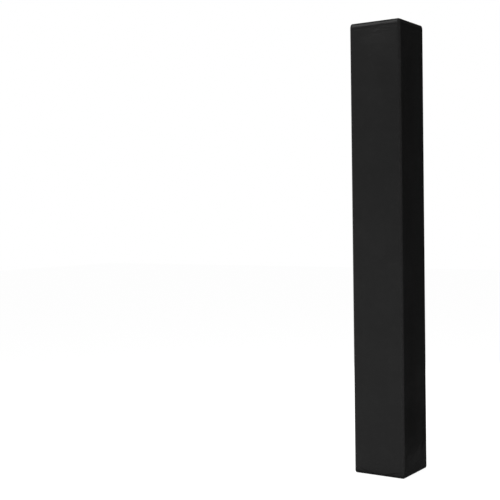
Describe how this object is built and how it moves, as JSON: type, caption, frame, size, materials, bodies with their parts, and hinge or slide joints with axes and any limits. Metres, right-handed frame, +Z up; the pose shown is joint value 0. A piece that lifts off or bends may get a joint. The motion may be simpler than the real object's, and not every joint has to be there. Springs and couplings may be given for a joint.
{
  "type": "basketball pole pad",
  "caption": "Tall square wrap-around pole pad: vinyl-covered foam boards that fold at the corners, with a square channel for the post and a hook-and-loop flap down the back.",
  "frame": {"origin": "middle of the pad's footprint, on the ground that it stands on", "axes": "+Z up along the post, -Y out of the front face, +X towards the right side as seen from the front"},
  "size_m": [0.2276, 0.23, 1.829],
  "materials": {
    "vinyl": "satin",
    "lining": "matte",
    "foam": "matte",
    "hook": "matte",
    "loop": "matte"
  },
  "bodies": {
    "front": {"front_foam": "foam", "front_cover": "vinyl", "front_lining": "lining", "front_top_panel": "vinyl", "front_bottom_panel": "vinyl"},
    "right_side": {"right_side_foam": "foam", "right_side_cover": "vinyl", "right_side_lining": "lining", "right_side_top_panel": "vinyl", "right_side_bottom_panel": "vinyl"},
    "left_side": {"left_side_foam": "foam", "left_side_cover": "vinyl", "left_side_lining": "lining", "left_side_top_panel": "vinyl", "left_side_bottom_panel": "vinyl"},
    "left_back": {"left_back_foam": "foam", "left_back_cover": "vinyl", "left_back_lining": "lining", "left_back_top_panel": "vinyl", "left_back_bottom_panel": "vinyl", "flap_margin": "vinyl"},
    "right_back": {"right_back_foam": "foam", "right_back_cover": "vinyl", "right_back_lining": "lining", "right_back_top_panel": "vinyl", "right_back_bottom_panel": "vinyl", "loop_strip": "loop"},
    "flap": {"closure_flap": "vinyl", "hook_strip": "hook"}
  },
  "joints": [
    {"name": "left_side_fold", "type": "hinge", "parent": "front", "child": "left_side", "pos_m": [-0.10854, -0.10969, 0.9145], "axis": [0, 0, 1], "range_deg": [0, 90]},
    {"name": "right_side_fold", "type": "hinge", "parent": "front", "child": "right_side", "pos_m": [0.10854, -0.10969, 0.9145], "axis": [0, 0, -1], "range_deg": [0, 90]},
    {"name": "left_back_fold", "type": "hinge", "parent": "left_side", "child": "left_back", "pos_m": [-0.10854, 0.10738, 0.9145], "axis": [0, 0, 1], "range_deg": [0, 90]},
    {"name": "right_back_fold", "type": "hinge", "parent": "right_side", "child": "right_back", "pos_m": [0.10854, 0.10738, 0.9145], "axis": [0, 0, -1], "range_deg": [0, 90]},
    {"name": "flap_peel", "type": "hinge", "parent": "left_back", "child": "flap", "pos_m": [0, 0.112, 0.9145], "axis": [0, 0, 1], "range_deg": [0, 150]}
  ],
  "couplings": [
    {"joint": "right_side_fold", "follows": "left_side_fold", "ratio": 1},
    {"joint": "right_back_fold", "follows": "left_back_fold", "ratio": 1}
  ]
}
